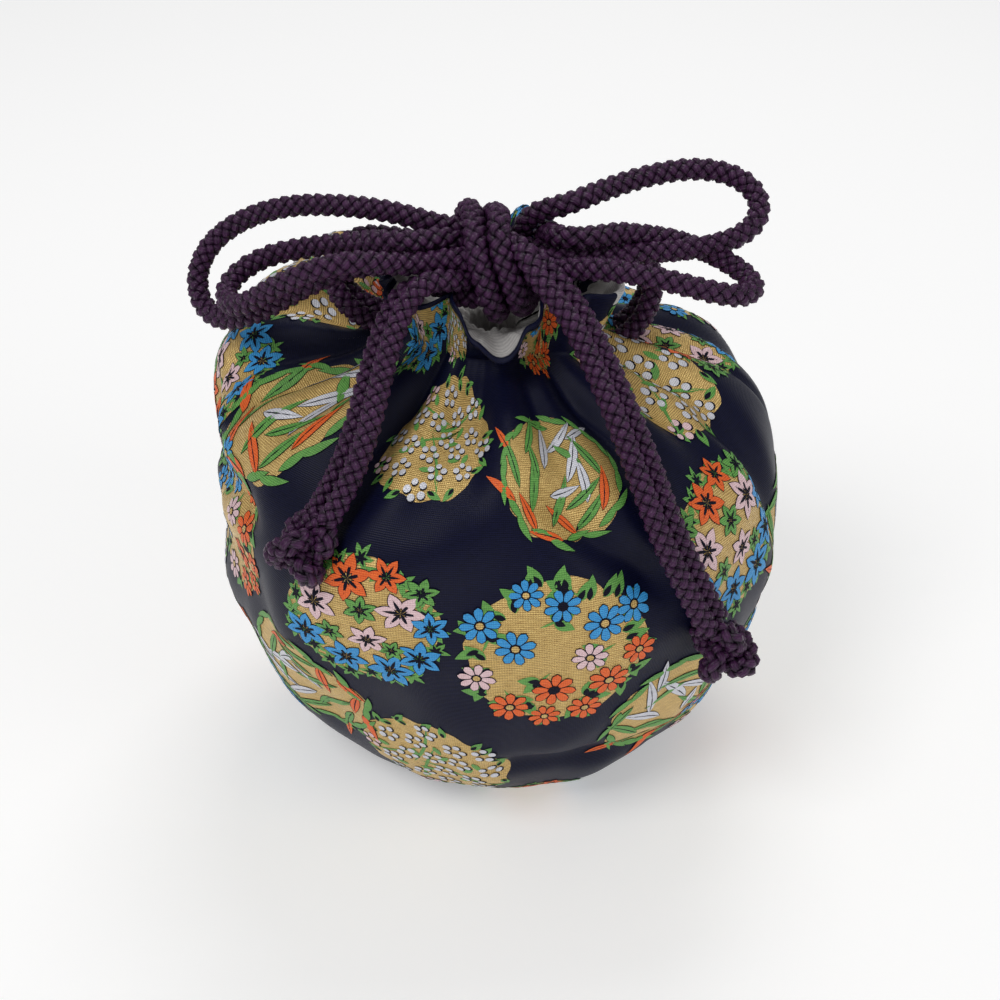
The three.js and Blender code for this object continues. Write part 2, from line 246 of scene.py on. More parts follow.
def cord_material():
    """Aubergine yarn: fine filaments lie aslant along each yarn. Its colour is painted lightest where a yarn
    crosses over and on its outer side, a painted highlight, and darkest where it goes under, painted shade."""
    m, tree, shader = node_material("aubergine_cord")
    uv = put(tree, "ShaderNodeUVMap", uv_map="UVMap")
    split = put(tree, "ShaderNodeSeparateXYZ", [("Vector", uv.outputs[0])])
    lay = math_node(tree, "MULTIPLY", split.outputs["X"], 5.4)
    around = math_node(tree, "MULTIPLY", split.outputs["Y"], TURN * 9)
    thread = math_node(tree, "SINE", math_node(tree, "ADD", lay, around))
    # Painted light and shade: over and outer lighten a yarn where it crosses over and on its outer side, and
    # darken it where it goes under and towards the yarns beside it.
    over = math_node(tree, "COSINE", math_node(tree, "MULTIPLY", split.outputs["X"], TURN))
    outer = math_node(tree, "SINE", math_node(tree, "MULTIPLY", split.outputs["Y"], TURN))
    crest = math_node(tree, "MULTIPLY", over, 0.4)
    crest = math_node(tree, "ADD", crest, math_node(tree, "MULTIPLY", outer, 0.3))
    fuzz = put(tree, "ShaderNodeTexNoise", [("Vector", uv.outputs[0])], Scale=3.0, Detail=3.0)
    shade = math_node(tree, "ADD", math_node(tree, "MULTIPLY", thread, 0.14), fuzz.outputs["Fac"])
    shade = math_node(tree, "ADD", math_node(tree, "ADD", shade, crest), -0.5)
    mix = tree.nodes.new("ShaderNodeMix")
    mix.data_type = "RGBA"
    mix.inputs[6].default_value = (*srgb(10, 3, 15), 1)
    mix.inputs[7].default_value = (*srgb(80, 42, 82), 1)
    tree.links.new(shade, mix.inputs[0])
    tree.links.new(mix.outputs[2], shader.inputs["Base Color"])
    bump = put(tree, "ShaderNodeBump", [("Height", thread)], Strength=0.35, Distance=0.0001)
    tree.links.new(bump.outputs[0], shader.inputs["Normal"])
    shader.inputs["Roughness"].default_value = 0.4
    shader.inputs["Specular IOR Level"].default_value = 0.26
    return m


CORD = cord_material()


# Cords
CORD_D = 4.5
STEP = 0.45  # between points along a cord
LEAD = 9.8  # along the cord for one turn of a yarn
YARNS = 4  # winding each way
YARN_OFF, YARN_SWING = 1.2, 0.5  # a yarn's distance from the cord's middle, and its swing over and under
YARN_WIDE, YARN_HIGH = 0.86, 0.66  # half sizes of a yarn's section
LEFT_Z, RIGHT_Z = 96.4, 91.6  # the two cords' heights in the channel
CHANNEL_R = 14.4
CHANNEL_GAP = 0.4  # angle left open at the slit
CHANNEL_RINGS, CHANNEL_SIDES = 90, 10
PLAIN_R = 2.2  # a cord's radius in the channel, where it is not seen
END_SIZE = 1.75  # scale of an end knot
EASE_FIRST, EASE_LAST = 3.0, 2.2  # reach over which bends are opened, before and after the knot settles
SETTLE_TURNS = 60
SETTLE_EASE = 27  # points over which a push is spread along a cord
# Where strands are moved apart: half width, middle and half depth from front to back, and lowest height.
KNOT_HALF, KNOT_Y, KNOT_DEEP, KNOT_LOW = 25, -4, 18, 99
BODY = np.array([60.0, 56.0, 107.2])  # half width, half depth and rim height
SIGHT = np.array([0.0, 0.833, -0.553])  # the camera's line of sight


def braid(line, sides=6):
    """A round braid of eight yarns along the line: four wind each way about it, a lead to a turn. Each yarn's
    distance from the middle swings between over and under where it meets the yarns of the other way."""
    u, v = carried_frames(line)
    far = np.r_[0, np.cumsum(np.linalg.norm(np.diff(line, axis=0), axis=1))]
    ring = np.linspace(0, TURN, sides, endpoint=False)
    points, faces, uvs = [], [], []
    start = 0
    for way in (1, -1):
        stitch = far * YARNS / LEAD + (0.0 if way > 0 else 0.5)
        swing = YARN_SWING * np.cos(TURN * stitch)
        for k in range(YARNS):
            angle = TURN * (k / YARNS + way * far / LEAD)
            out = np.cos(angle)[:, None] * u + np.sin(angle)[:, None] * v
            mid = line + (YARN_OFF + swing)[:, None] * out
            across = unit(np.cross(np.gradient(mid, axis=0), out))
            body = mid[:, None] + YARN_WIDE * np.cos(ring)[None, :, None] * across[:, None]
            body = body + YARN_HIGH * np.sin(ring)[None, :, None] * out[:, None]
            points.append(body.reshape(-1, 3))
            faces.append(grid_faces(len(line), sides, True, start))
            uvs.append(np.stack(np.broadcast_arrays(stitch[:, None], ring[None] / TURN), -1).reshape(-1, 2))
            start += len(line) * sides
    return np.vstack(points), np.vstack(faces), np.vstack(uvs)


def tube(line, radius, sides):
    """A plain round tube: a ring of points about each point of the line, at the radius."""
    u, v = carried_frames(line)
    ring = np.linspace(0, TURN, sides, endpoint=False)
    body = line[:, None] + radius * (
        np.cos(ring)[None, :, None] * u[:, None] + np.sin(ring)[None, :, None] * v[:, None]
    )
    return body.reshape(-1, 3), grid_faces(len(line), sides, True)


# Loop routes are shares of the body's half width, half depth and rim height.
LEFT_OUTER = [
    (-0.3, 0.01, 1.111), (-0.49, 0.08, 1.112), (-0.68, 0.14, 1.098), (-0.85, 0.17, 1.058),
    (-0.955, 0.16, 1.008), (-0.99, 0.11, 0.948), (-0.945, 0.04, 0.902), (-0.84, -0.05, 0.91),
    (-0.7, -0.12, 0.96), (-0.56, -0.155, 1.014), (-0.4, -0.14, 1.047), (-0.27, -0.12, 1.052),
]
LEFT_INNER = [
    (-0.29, -0.18, 1.098), (-0.42, -0.12, 1.09), (-0.6, -0.055, 1.068), (-0.74, -0.03, 1.045),
    (-0.84, -0.03, 1.006), (-0.87, -0.07, 0.972), (-0.82, -0.135, 0.956), (-0.7, -0.2, 1.002),
    (-0.56, -0.245, 1.054), (-0.41, -0.25, 1.078), (-0.28, -0.23, 1.068),
]
RIGHT_OUTER = [
    (0.22, -0.02, 1.13), (0.36, 0.07, 1.145), (0.5, 0.13, 1.16), (0.66, 0.16, 1.169),
    (0.785, 0.15, 1.158), (0.862, 0.11, 1.128), (0.867, 0.06, 1.092), (0.81, 0.01, 1.066),
    (0.7, -0.02, 1.05), (0.55, -0.04, 1.044), (0.4, -0.07, 1.05), (0.27, -0.09, 1.055),
]
RIGHT_INNER = [
    (0.26, -0.155, 1.1), (0.36, -0.14, 1.105), (0.5, -0.11, 1.106), (0.62, -0.105, 1.09),
    (0.74, -0.13, 1.062), (0.82, -0.16, 1.03), (0.835, -0.2, 1.008), (0.77, -0.225, 1.0),
    (0.66, -0.225, 1.012), (0.53, -0.22, 1.032), (0.38, -0.22, 1.052), (0.26, -0.215, 1.06),
]
# Tail and knot routes are in millimetres.
LEFT_TAIL = [
    (-9.7, -12.0, 113.0), (-14.3, -15.5, 112.0), (-17.3, -19.5, 109.4), (-19.5, -23.5, 104.8),
    (-21.2, -29.0, 100.6), (-22.6, -35.0, 96.4), (-24.6, -40.5, 91.2), (-27.6, -44.6, 85.6),
    (-31.0, -47.6, 81.0),
]
RIGHT_TAIL = [
    (3.4, -11.0, 118.0), (7.4, -14.5, 116.0), (11.3, -18.0, 112.8), (15.3, -21.6, 108.6),
    (19.0, -26.5, 103.0), (22.3, -32.5, 97.8), (25.2, -38.0, 92.4), (28.2, -43.2, 86.4),
    (31.0, -47.0, 79.6), (34.8, -48.6, 71.5), (38.6, -48.8, 63.5), (41.2, -48.4, 58.0),
]


def tail(route, shift, over):
    """The tail's route, shifted sideways along the cloth and off it by so many millimetres."""
    p = np.array(route, float)
    along = unit(np.gradient(p, axis=0))
    out = unit(p * [0.4, 1.0, 0.0] + [0, 0, 30.0])
    return p + shift * unit(np.cross(along, out)) + over * out


def standing(side, way, z):
    """From the channel out by the slit, up past the ruffle and in towards the knot."""
    y = 2.9 if way > 0 else -2.7
    rim_y = 9.4 if way > 0 else 2.6
    return [
        (side * 14.0, way * 5.6, z), (side * 19.5, way * 3.2, z + 0.2), (side * 25.0, y, z + 1.4),
        (side * 29.6, 0.7 * y + 0.3 * rim_y, z + 5.0), (side * 32.0, 0.3 * y + 0.7 * rim_y, 103.6),
        (side * 30.6, rim_y, 108.4), (side * 25.0, rim_y - 0.6, 111.0),
    ]


def wrap(top, shift):
    """Once over the knot, from behind its top down its front, leaning to the right, and under."""
    ring = [
        (2.6, 114.0), (0.6, 118.6), (-5.0, 121.6), (-12.2, 119.6), (-15.4, 113.8), (-13.8, 107.4),
        (-8.4, 103.8),
    ]
    return [(top + shift * k / 6, y, z) for k, (y, z) in enumerate(ring)]


def loop(route, open_by):
    """A loop's route in millimetres, its upper run set further back and its lower run further forward."""
    lean = open_by * np.sin(np.linspace(0, TURN, len(route)))
    return placed(np.array(route) * BODY + lean[:, None] * SIGHT)


def placed(route):
    """The route's points as a plain list."""
    return [tuple(p) for p in route]


# The four free strands. The left pair comes up, wraps the knot, makes the right loops, goes back through the
# knot and hangs as the left tail. The right pair goes through the knot, makes the left loops, goes back
# through and hangs as the right tail.
STRANDS = {
    "left_cord_a": standing(-1, 1, LEFT_Z) + [(-17.0, 6.6, 110.8), (-10.0, 4.6, 111.0)] + wrap(-6.2, 7.4)
    + [(3.0, -2.0, 103.8), (4.6, 2.6, 107.6), (6.4, 3.0, 113.0), (9.4, 0.6, 118.0)] + loop(RIGHT_OUTER, 3.0)
    + [(8.6, -6.4, 112.2), (0.0, -8.0, 110.8), (-5.6, -10.4, 111.6)] + placed(tail(LEFT_TAIL, -1.75, 1.5)),
    "left_cord_b": standing(-1, -1, LEFT_Z) + [(-18.0, 1.6, 109.2), (-9.6, 2.6, 108.4), (-4.2, 3.6, 110.2)]
    + wrap(-1.5, 7.7) + [(7.6, -1.8, 103.4), (9.4, 3.6, 106.6), (10.4, 2.6, 112.6), (11.4, -4.4, 116.8)]
    + loop(RIGHT_INNER, 6.0) + [(8.6, -10.6, 111.8), (0.0, -10.2, 109.2), (-5.2, -11.2, 109.2)]
    + placed(tail(LEFT_TAIL, 1.75, -1.3)),
    "right_cord_a": standing(1, 1, RIGHT_Z)
    + [(16.0, 5.0, 111.6), (7.0, 0.0, 112.6), (-1.0, -2.6, 114.6), (-8.6, -3.0, 117.6)]
    + loop(LEFT_OUTER, 3.0)
    + [(-9.0, -6.6, 113.2), (-3.5, -7.4, 114.6), (0.5, -9.0, 116.6)] + placed(tail(RIGHT_TAIL, 1.75, 1.5)),
    "right_cord_b": standing(1, -1, RIGHT_Z)
    + [(17.0, 0.8, 109.4), (8.0, -2.0, 108.4), (0.5, -4.6, 110.6), (-5.0, -7.0, 114.8)]
    + loop(LEFT_INNER, 6.0)
    + [(-9.0, -11.4, 113.4), (-4.0, -10.4, 113.8), (0.0, -10.4, 115.0)]
    + placed(tail(RIGHT_TAIL, -1.75, -0.7)),
}


def eased(line, reach):
    """The line with its bends opened: three times over, each point goes to the mean of those in reach."""
    n = int(reach / STEP)
    for _ in range(3):
        before = 2 * line[0] - line[n:0:-1]
        after = 2 * line[-1] - line[-2:-n - 2:-1]
        whole = np.cumsum(np.vstack([0 * line[:1], before, line, after]), axis=0)
        line = (whole[2 * n + 1:] - whole[: -2 * n - 1]) / (2 * n + 1)
    return even(line, STEP)


def settled(lines, gap):
    """Cords that press on each other move apart. Each point of the knot that lies nearer than the gap to
    another cord, or to a far stretch of its own, is pushed off it by a share of what is missing, and the pushes
    are eased along the cord."""
    sizes = [len(line) for line in lines]
    points = np.vstack(lines)
    cord = np.repeat(np.arange(len(lines)), sizes)
    far = np.concatenate([np.arange(n) for n in sizes]) * STEP
    x, y, z = points.T
    knot = np.flatnonzero((np.abs(x) < KNOT_HALF) & (z > KNOT_LOW) & (np.abs(y - KNOT_Y) < KNOT_DEEP))
    own = cord[knot][:, None] == cord[knot][None]
    same = own & (np.abs(far[knot][:, None] - far[knot][None]) < 3 * gap)
    ease = np.hanning(SETTLE_EASE) / np.hanning(SETTLE_EASE).sum()
    for _ in range(SETTLE_TURNS):
        here = points[knot]
        away = here[:, None] - here[None]
        d = np.linalg.norm(away, axis=-1) + 1e-6
        short = np.where(same, 0.0, np.clip(gap - d, 0, None))
        press = short.max(1)[:, None]
        push = (away * (short / d)[..., None]).sum(1) / (short.sum(1) + 1e-6)[:, None] * press / gap
        moves = np.zeros_like(points)
        moves[knot] = 0.5 * push * (press > 0)
        start = 0
        for n in sizes:
            part = slice(start, start + n)
            points[part] += np.stack([np.convolve(moves[part, k], ease, "same") for k in range(3)], -1)
            start += n
    return np.split(points, np.cumsum(sizes)[:-1])


def end_knot(centre, along, size):
    """An overhand knot drawn tight: a closed turn of three lobes about the tail's line. Across, sin t and
    twice sin 2t are added; along, cos t less twice cos 2t; and its depth swings with sin 3t."""
    t = np.linspace(0, TURN, 160)
    flat = np.stack([np.sin(t) + 2 * np.sin(2 * t), np.cos(t) - 2 * np.cos(2 * t), -1.9 * np.sin(3 * t)], -1)
    along = unit(np.array(along, float))
    a = unit(np.cross(along, [0.3, -1.0, 0.2]))
    b = np.cross(along, a)
    line = np.array(centre) + size * (0.9 * flat[:, :1] * a + flat[:, 1:2] * along + flat[:, 2:] * b)
    return even(line, STEP)


def dress(obj, slot, *nodes):
    """Sets the piece on the one body, in place of those CAD nodes. Its slot is not used."""
    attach(obj, "root")
    if nodes:
        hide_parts(*nodes)


ENDS = {
    "left_end_knot": ((-34.0, -50.4, 76.6), (-0.5, -0.5, -0.7)),
    "right_end_knot": ((43.6, -48.2, 51.8), (0.4, 0.0, -0.9)),
}
END_PIECES = {}
for name, (centre, along) in ENDS.items():
    points, faces, uv = braid(end_knot(centre, along, END_SIZE))
    END_PIECES[name] = add_mesh(name.replace("end_knot", "tail_knot"), points, faces, [CORD], uv=uv)
    dress(END_PIECES[name], "cord", name)

FREE = {
    "left_cord_a": ["left_standing_back", "right_loop_outer", "left_tail_outer"],
    "left_cord_b": ["left_standing_front", "right_loop_inner", "left_tail_inner", "bow_knot"],
    "right_cord_a": ["right_standing_back", "left_loop_outer", "right_tail_outer"],
    "right_cord_b": ["right_standing_front", "left_loop_inner", "right_tail_inner"],
}
ROUTES = settled([eased(line_through(route, STEP), EASE_FIRST) for route in STRANDS.values()], CORD_D)
for name, route in zip(STRANDS, ROUTES):
    line = eased(route, EASE_LAST)
    points, faces, uv = braid(line)
    obj = add_mesh(name, points, faces, [CORD], uv=uv)
    dress(obj, "cord", *FREE[name])

for name, side, z in (("left_channel_run", -1, LEFT_Z), ("right_channel_run", 1, RIGHT_Z)):
    t = np.linspace(CHANNEL_GAP, TURN - CHANNEL_GAP, CHANNEL_RINGS)
    line = np.stack([side * CHANNEL_R * np.cos(t), CHANNEL_R * np.sin(t), 0 * t + z], -1)
    points, faces = tube(line, PLAIN_R, CHANNEL_SIDES)
    along = np.repeat(np.arange(CHANNEL_RINGS), CHANNEL_SIDES) * 1.0
    around = np.tile(np.arange(CHANNEL_SIDES) / CHANNEL_SIDES, CHANNEL_RINGS)
    uv = np.stack([along, around], -1)
    obj = add_mesh(name.replace("_run", "_cord"), points, faces, [CORD], uv=uv)
    dress(obj, "cord", name)


# Cloth
PROFILE = np.array([
    (0, 0), (24, 0), (37, 4.5), (46, 14), (53, 28), (58.5, 45), (60, 56), (59, 67), (55, 78),
    (47.5, 86.3), (39.5, 90.8), (32, 93.4), (26, 95.0), (21.6, 96.4), (18.8, 98.4),
], float)
FINE = line_through(np.c_[PROFILE, 0 * PROFILE[:, 0]], 0.5)[:, :2]
FAR = np.r_[0, np.cumsum(np.linalg.norm(np.diff(FINE, axis=0), axis=1))]
SLOPE = unit(np.gradient(FINE, axis=0))
GATHER = float(FAR[-1])
DEEPEST = GATHER - 14  # where the pleats are deepest
FOLD_ROUND = 55  # radius by which the angles of a fold become lengths
RUFFLE_STEPS = 10  # stretches by which the curl of the ruffle is added up
CURL_FROM = 0.35  # share of the ruffle below which it does not curl
FOOT_SHIFT = 2.0  # how far the lower body stands to the right
LINING_ROWS, LINING_COLS = 110, 220
HEM = 0.6  # radius of the turned edge
EDGE = math.pi + 1.5  # how far the turned edge runs round, in radii
ROUND = 58  # radius by which an angle becomes a length of cloth
STRIP = 2.2  # width of the lining that shows over the rim
STRIP_CLEAR, RIM_CLEAR = 2.4, 0.3  # how far below the rim the roundels stop, with that strip and without

# Each pleat's valley: its angle, depth, how far up the cloth it starts, and how it slants below the gather.
VALLEYS = [
    (184, 5.5, 104, 0.05), (198, 6.5, 98, 0.0), (219, 5.0, 108, -0.06), (240, 7.0, 104, -0.05),
    (256, 4.5, 116, 0.0), (265, 4.0, 112, 0.02), (285, 4.5, 112, 0.05), (301, 6.5, 100, 0.08),
    (320, 5.0, 110, 0.1), (341, 6.5, 104, 0.0), (0, 5.0, 112, 0.0), (19, 6.0, 104, 0.0),
    (38, 5.0, 112, 0.03), (57, 6.5, 102, 0.0), (77, 5.0, 112, -0.03), (96, 6.0, 104, 0.0),
    (116, 5.0, 112, 0.03), (134, 6.5, 102, 0.0), (152, 5.2, 110, -0.03), (169, 6.0, 106, 0.0),
]
# Soft folds: from one angle and height along the cloth to another, how far they stand off, and how wide.
FOLDS = [
    (178, 117, 214, 112, -3.4, 4.0), (176, 127, 206, 128, 4.0, 12.0), (284, 125, 300, 109, -3.2, 4.0),
    (336, 128, 340, 102, -2.6, 4.0), (232, 100, 264, 122, 2.4, 9.0), (300, 96, 322, 112, 1.4, 8.0),
    (275, 60, 305, 57, -1.8, 3.5), (236, 66, 262, 84, -1.2, 8.0), (312, 84, 290, 70, 1.2, 7.0),
    (250, 128, 238, 108, 2.2, 5.0), (164, 95, 202, 95, -4.6, 11.0), (168, 108, 200, 109, -2.6, 3.4),
    (172, 118, 198, 118, 1.8, 5.0),
]
# Slow ripples all over: turns round the body, turn of phase up the cloth, how high, and where they start.
RIPPLES = [
    (5, 0.05, 0.55, 0.4), (8, -0.09, 0.45, 1.9), (13, 0.06, 0.3, 0.2), (11, -0.16, 0.25, 2.6),
    (17, 0.12, 0.18, 4.0), (23, -0.1, 0.14, 1.1),
]
# The left shoulder stands higher at the back: how much, at which angle, and how wide.
PUFF, PUFF_AT, PUFF_WIDE = 14.5, 142, 30
# The ruffle round the mouth: angle, how far it leans out, its length, how far below the gather it opens, and
# how far its upper part curls in.
RIM = np.array([
    (0, 8, 14, 0, 150), (22, 6, 14.5, 0, 140), (40, 6, 19, 0, 120), (54, 8, 23, 0, 135), (72, 8, 24, 0, 140),
    (85, 6, 22, 0, 130), (100, 12, 16, 0, 100),
    (130, 14, 13, 0, 80), (146, 16, 11, 0, 50), (155, 20, 8.5, 0, 20), (180, 34, 8, 0, 0),
    (205, 30, 9.5, 0, 0),
    (216, 22, 8.8, 0, 0), (232, 12, 9, 0, 0), (247, 2, 11, 0, 0), (254, 26, 10, 0, 0), (261, 66, 8.6, 0, 0),
    (277, 70, 8.6, 0, 0), (288, 40, 9.5, 0, 0), (301, 14, 10.5, 0, 0), (314, 18, 10.5, 2, 0),
    (326, 22, 13, 4, 0), (336, 30, 14.5, 3.5, 0), (345, 34, 13.5, 3, 0), (353, 24, 12, 3, 100),
    (360, 10, 14, 0, 150),
], float)


def turn_to(phi, centre):
    """The angle from centre to phi, between minus and plus half a turn."""
    return (phi - centre + math.pi) % TURN - math.pi


def relief(phi, s, r):
    """How far the cloth stands off its profile. A pleat is a valley that runs down from the gather, its depth
    over one plus the square of the distance across it in widths. A soft fold is a bell about a line, and the
    ripples are sines over angle and height. The side seams draw the cloth in a little."""
    d = 0.0 * phi
    below = np.clip(GATHER - s, 0, None)
    for deg, depth, foot, slant in VALLEYS:
        grow = smooth(foot, DEEPEST, s) * (1 - 0.55 * smooth(DEEPEST, GATHER - 1, s))
        wide = 1.8 + 0.1 * below
        x = turn_to(phi, math.radians(deg)) * r - slant * below
        d = d - depth * grow / (1 + (x / wide) ** 2)
    d = d + 2.6 * smooth(104, DEEPEST, s) * (1 - 0.4 * smooth(DEEPEST, GATHER, s))
    for a0, s0, a1, s1, high, wide in FOLDS:
        mid = math.radians((a0 + a1) / 2)
        x = turn_to(phi, mid) * r
        ax, bx = (math.radians(a) - mid for a in (a0, a1))
        p0, p1 = np.array([ax * FOLD_ROUND, s0]), np.array([bx * FOLD_ROUND, s1])
        span = p1 - p0
        long = float(np.hypot(*span))
        t = ((x - p0[0]) * span[0] + (s - p0[1]) * span[1]) / long
        off = ((x - p0[0]) * -span[1] + (s - p0[1]) * span[0]) / long
        past = np.clip(np.maximum(-t, t - long), 0, None)
        d = d + high * np.exp(-((off / wide) ** 2) - (past / (1.5 * wide)) ** 2)
    for across, along, high, start in RIPPLES:
        wave = np.sin(across * phi + along * s + start)
        d = d + high * wave * smooth(25, 60, s) * (1 - smooth(140, GATHER, s))
    seam = np.exp(-((np.abs(turn_to(2 * phi, 0)) * r / 2 / 1.2) ** 2)) * smooth(20, 40, s)
    return d - 0.7 * seam


def ruffle(phi):
    """The ruffle at each angle, eased between the chosen ones: lean, length, foot along the cloth, curl."""
    deg = np.degrees(phi)
    near = [deg + k for k in (-5, -2.5, 0, 2.5, 5)]
    eased_to = [sum(np.interp(d, RIM[:, 0], RIM[:, k]) for d in near) / len(near) for k in (1, 2, 3, 4)]
    lean, long, drop, curl = eased_to
    return np.radians(lean), long, GATHER - drop, np.radians(curl)


def cloth(phi, s, inset=0.0, puff=PUFF):
    """The pouch's outer face in millimetres. s runs up the cloth from the middle of the foot to the gather,
    then along the ruffle and round its turned edge: at each s, a radius and a height on the profile, moved
    off it by the relief. inset moves the face inwards; puff lifts the left shoulder."""
    phi, s = np.broadcast_arrays(np.asarray(phi, float), np.asarray(s, float))
    lean, long, foot, curl = ruffle(phi)
    low = np.minimum(s, foot)
    r = np.interp(low, FAR, FINE[:, 0])
    z = np.interp(low, FAR, FINE[:, 1])
    dr = np.interp(low, FAR, SLOPE[:, 0])
    dz = np.interp(low, FAR, SLOPE[:, 1])
    up = np.clip(s - foot, 0, long)
    angle = lean - curl * smooth(CURL_FROM, 1, up / long)
    d = relief(phi, low, r) * (1 + 0.6 * smooth(0, 1, up / long)) - inset
    turned = smooth(0, 4, up)
    r0 = r + d * (dz * (1 - turned) + np.cos(angle) * turned)
    z0 = z - d * (0.85 * dr * (1 - turned) + np.sin(angle) * turned)
    for k in range(RUFFLE_STEPS):
        part = lean - curl * smooth(CURL_FROM, 1, up * (k + 0.5) / RUFFLE_STEPS / long)
        r0 = r0 + up / RUFFLE_STEPS * np.sin(part)
        z0 = z0 + up / RUFFLE_STEPS * np.cos(part)
    lifted = np.exp(-((turn_to(phi, math.radians(PUFF_AT)) / math.radians(PUFF_WIDE)) ** 2))
    z0 = z0 + puff * lifted * smooth(100, 130, s) * (1 - smooth(138, 157, s))
    roll = np.clip((s - foot - long) / HEM, 0, EDGE)
    bend = np.minimum(roll, math.pi)
    down = np.clip(roll - math.pi, 0, None) * HEM
    inner, rise = (1 - np.cos(bend)) * HEM, np.sin(bend) * HEM - down
    r0 = r0 - inner * np.cos(angle) + rise * np.sin(angle)
    z0 = z0 + inner * np.sin(angle) + rise * np.cos(angle)
    deep = 1 - (BODY[0] - BODY[1]) / BODY[0] * (1 - smooth(85, GATHER, s))
    lift = np.clip(z0, 0, None)
    x = r0 * np.cos(phi) + FOOT_SHIFT * (1 - smooth(0, 70, lift)) * smooth(0, 10, lift)
    y = r0 * np.sin(phi) * deep
    return np.stack([x, y, lift], -1)


def turned_out(phi):
    """Where the lining shows as a strip turned out over the rim: by the right side slit, on the front."""
    return (phi > math.radians(329)) & (phi < math.radians(352))


def heights(phi, body_rows, ruffle_rows, edge):
    """Heights along the cloth for a grid: even up to the ruffle's foot, then even to its rim and edge."""
    _, long, foot, _ = ruffle(phi)
    body = np.linspace(0, 1, body_rows)[:, None] * (foot - 0.4) + 0.4
    above = np.linspace(0, 1, ruffle_rows + 1)[1:, None] * (long + edge) + foot
    return np.vstack([body, above])


def outer_panel(name, start, stop, rows, cols, node):
    """The outer face between two angles as a grid, its strip by the right slit in lining cloth."""
    phi = np.radians(np.linspace(start, stop, cols))[None, :]
    s = heights(phi, rows, rows // 5, HEM * EDGE)
    uv = np.stack(np.broadcast_arrays(phi * ROUND, s), -1).reshape(-1, 2)
    _, long, foot, _ = ruffle(phi)
    strip = (turned_out(phi) & (s > foot + long - STRIP))[:-1, :-1].astype(int).ravel()
    obj = add_mesh(name, cloth(phi, s).reshape(-1, 3), grid_faces(len(s), cols), [SATIN, LINING], strip, uv)
    dress(obj, "brocade", node)
    return obj


outer_front = outer_panel("outer_front_cloth", 180, 360, 200, 340, "outer_front_panel")
outer_back = outer_panel("outer_back_cloth", 0, 180, 160, 240, "outer_back_panel")


def lining_face(phi, s):
    """The lining hangs inside the body, stands inside the cords at the neck, and lies under the ruffle: the
    outer face moved in by its inset, with its radius drawn in to the neck's wall."""
    inside = cloth(phi, s, 1.0, 0.0)
    r = np.hypot(inside[..., 0], inside[..., 1])
    foot = ruffle(phi)[2]
    neck = smooth(120, 150, s) * (1 - smooth(foot - 1, foot + 5, s))
    wall = 4.5 + 0.2 * (r - 18)
    keep = 1 - neck + neck * np.minimum(1, wall / np.maximum(r, 1))
    inside[..., :2] *= keep[..., None]
    sag = 1.5 * smooth(110, 140, s) * (1 - smooth(150, GATHER, s))
    inside[..., 2] += 0.8 * (1 - smooth(0, 40, s)) - sag
    return inside


for name, start, stop, node in (
    ("lining_front_cloth", 180, 360, "lining_front_panel"),
    ("lining_back_cloth", 0, 180, "lining_back_panel"),
):
    phi = np.radians(np.linspace(start, stop, LINING_COLS))[None, :]
    s = heights(phi, LINING_ROWS, 30, -0.2)
    uv = np.stack(np.broadcast_arrays(phi * ROUND, s), -1).reshape(-1, 2)
    faces = grid_faces(len(s), LINING_COLS)
    obj = add_mesh(name, lining_face(phi, s).reshape(-1, 3), faces, [LINING], uv=uv)
    dress(obj, "lining", node)


# Woven roundels
def fan(outline, rings=2):
    """A filled star-shaped outline about its middle: points, triangles and each one's share out to the rim."""
    outline = np.asarray(outline, float)
    n = len(outline)
    mid = outline.mean(0)
    shares = np.linspace(0, 1, rings + 1)[1:]
    points = np.vstack([mid] + [mid + (outline - mid) * k for k in shares])
    j = np.arange(n)
    tris = [np.stack([0 * j, 1 + j, 1 + (j + 1) % n], -1)]
    for k in range(rings - 1):
        a, b = 1 + k * n + j, 1 + k * n + (j + 1) % n
        tris.append(np.stack([a, a + n, b + n], -1))
        tris.append(np.stack([a, b + n, b], -1))
    return points, np.vstack(tris), np.r_[0, np.repeat(shares, n)]


def moved(outline, x, y, turn=0.0):
    """The outline turned about the origin and set at x, y."""
    c, s = math.cos(turn), math.sin(turn)
    return np.asarray(outline) @ np.array([[c, s], [-s, c]]) + [x, y]


def grown(outline, by):
    """The outline moved out from its middle by about that much all round."""
    mid = outline.mean(0)
    away = outline - mid
    return mid + away * (1 + by / (np.linalg.norm(away, axis=1, keepdims=True) + 0.3))


def leaf(length, width, bend=0.0, n=9, peak=0.8):
    """A pointed leaf along x from the origin, bent sideways. Its widest point lies further out for a larger
    peak, and its tip is then rounder."""
    t = np.linspace(0, 1, n)
    half = width / 2 * np.sin(math.pi * t ** peak) ** (0.72 / peak)
    mid = bend * length * (t * t)
    right = np.stack([t * length, mid - half], -1)
    left = np.stack([t * length, mid + half], -1)[::-1]
    return np.vstack([right, left[1:-1]])


def maple(size):
    """A leaf of six pointed lobes, alternately longer and shorter."""
    t = np.radians(np.arange(24) * 15)
    r = np.tile([1.0, 0.66, 0.4, 0.66], 6) * np.repeat([1.08, 0.94], 4)[np.arange(24) % 8]
    return size * np.stack([r * np.cos(t), r * np.sin(t)], -1)


def disc(radius, sides=10, ragged=0.0):
    """A round outline, its radius waved by three sines where it is ragged."""
    t = np.linspace(0, TURN, sides, endpoint=False)
    wavy = np.sin(5 * t + 0.7) + 0.7 * np.sin(11 * t) + 0.5 * np.sin(17 * t + 2)
    r = radius * (1 + ragged * wavy)
    return np.stack([r * np.cos(t), r * np.sin(t)], -1)


def line_leaf(shape, x, y, turn, ink="green"):
    """A leaf drawn as a line: its shape in colour, with a smaller dark one inside."""
    return [(moved(shape, x, y, turn), ink, 1), (moved(shape * 0.52 + 0.1, x, y, turn), "outline", 2)]


